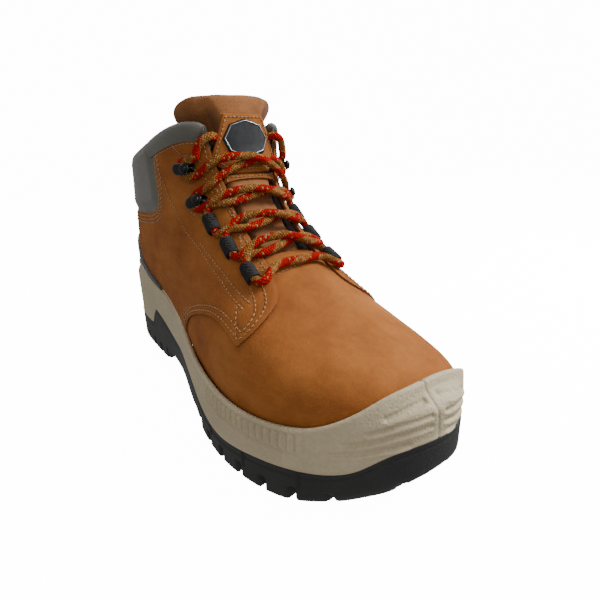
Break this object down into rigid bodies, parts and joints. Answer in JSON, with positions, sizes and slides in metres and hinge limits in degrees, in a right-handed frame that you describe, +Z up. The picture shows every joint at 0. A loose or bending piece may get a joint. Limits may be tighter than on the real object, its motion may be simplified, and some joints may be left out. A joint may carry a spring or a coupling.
{
  "type": "steel toe work boot",
  "caption": "Ankle-high right-foot leather work boot with a steel toe cap, padded tongue and collar, speed hooks, webbing lace loops and a lugged two-part sole.",
  "frame": {"origin": "centre of the bounding box in plan, on the ground the tread stands on", "axes": "+Z up, the toe points along -Y and the heel along +Y, +X is the medial (inner) side of this right boot"},
  "size_m": [0.113, 0.31, 0.1799],
  "materials": {
    "outsole_rubber": "fine granular moulded rubber",
    "midsole_pu": "moulded beige polyurethane",
    "steel": "bare steel",
    "board": "fibre board",
    "footbed_foam": "fabric-topped foam",
    "cap_steel": "epoxy coated steel",
    "soft_strip": "soft edge strip",
    "black_plastic": "satin moulded",
    "collar_grey": "smooth coated",
    "nubuck": "nubuck",
    "lining": "air mesh",
    "tape": "woven tape",
    "foam": "open foam",
    "black_metal": "gloss black",
    "suede": "suede",
    "badge": "gloss black",
    "lace_braid": "round braid, tan with red blocks",
    "lace_tip": "clear-coated film",
    "webbing": "ribbed webbing"
  },
  "bodies": {
    "boot": {"outsole": "outsole_rubber", "midsole": "midsole_pu", "shank": "steel", "insole_board": "board", "footbed": "footbed_foam", "toe_cap": "cap_steel", "toe_cap_strip": "soft_strip", "heel_counter": "board", "heel_overlay": "black_plastic", "backstay": "collar_grey", "vamp": "nubuck", "vamp_lining": "lining", "quarter_lateral": "nubuck", "quarter_medial": "nubuck", "facing_tape_lateral": "tape", "facing_tape_medial": "tape", "quarter_lining": "lining", "collar_cover": "collar_grey", "collar_foam": "foam", "hook_rivets": "black_metal", "hook_washers": "steel", "lace": "lace_braid", "lace_tips": "lace_tip", "lace_hook_upper_lateral": "black_metal", "lace_hook_upper_medial": "black_metal", "lace_hook_lower_lateral": "black_metal", "lace_hook_lower_medial": "black_metal", "lace_loop_top_lateral": "webbing", "lace_loop_top_medial": "webbing", "lace_loop_middle_lateral": "webbing", "lace_loop_middle_medial": "webbing", "lace_loop_bottom_lateral": "webbing", "lace_loop_bottom_medial": "webbing"},
    "tongue": {"tongue_cover": "suede", "tongue_lining": "lining", "tongue_foam": "foam", "tongue_patch": "nubuck", "tongue_badge": "badge"}
  },
  "joints": [
    {"name": "tongue_fold", "type": "hinge", "parent": "boot", "child": "tongue", "pos_m": [0, -0.05, 0.09], "axis": [-1, 0, 0], "range_deg": [0, 8], "stiffness_Nm_per_rad": 0.5}
  ]
}
